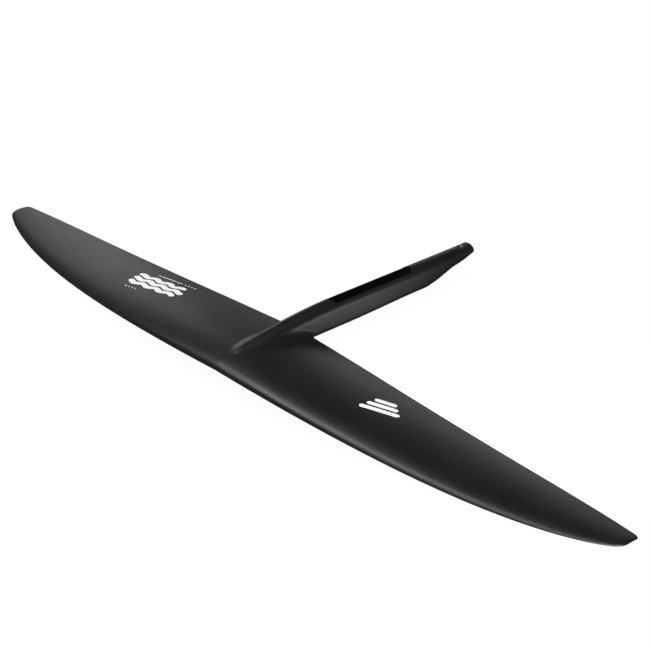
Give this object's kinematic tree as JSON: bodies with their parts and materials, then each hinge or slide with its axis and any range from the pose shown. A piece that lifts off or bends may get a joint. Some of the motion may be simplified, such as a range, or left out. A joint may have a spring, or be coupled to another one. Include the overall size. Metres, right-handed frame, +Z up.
{
  "type": "hydrofoil front wing",
  "caption": "High aspect hydrofoil front wing moulded in one with its fuselage: a deep slot takes the mast foot and the tapered tail carries a stabiliser.",
  "frame": {"origin": "middle of the mast seat, which is the flat floor of the mast pocket", "axes": "+X along the span towards the port wing tip, -Y forward in the direction of travel, +Z up towards the mast"},
  "size_m": [1.2, 0.4586, 0.0616],
  "materials": {
    "carbon_skin": "satin clear coated carbon fibre laminate",
    "inner_carbon": "bare moulded carbon laminate",
    "foam_core": "closed cell foam",
    "steel": "machined stainless steel",
    "white_print": "white printed graphic under the clear coat"
  },
  "bodies": {
    "root": {"upper_skin": "carbon_skin", "lower_skin": "carbon_skin", "upper_spar_cap": "inner_carbon", "lower_spar_cap": "inner_carbon", "fuselage_front_beam": "inner_carbon", "mast_pocket_liner": "inner_carbon", "belly_block": "inner_carbon", "tail_block": "inner_carbon", "port_leading_edge_filler": "inner_carbon", "port_spar_web": "inner_carbon", "port_trailing_edge_filler": "inner_carbon", "starboard_leading_edge_filler": "inner_carbon", "starboard_spar_web": "inner_carbon", "starboard_trailing_edge_filler": "inner_carbon", "fuselage_rear_core": "foam_core", "port_front_core": "foam_core", "port_rear_core": "foam_core", "starboard_front_core": "foam_core", "starboard_rear_core": "foam_core", "front_mast_screw_ferrule": "steel", "rear_mast_screw_ferrule": "steel", "tail_screw_ferrule": "steel"}
  },
  "joints": []
}
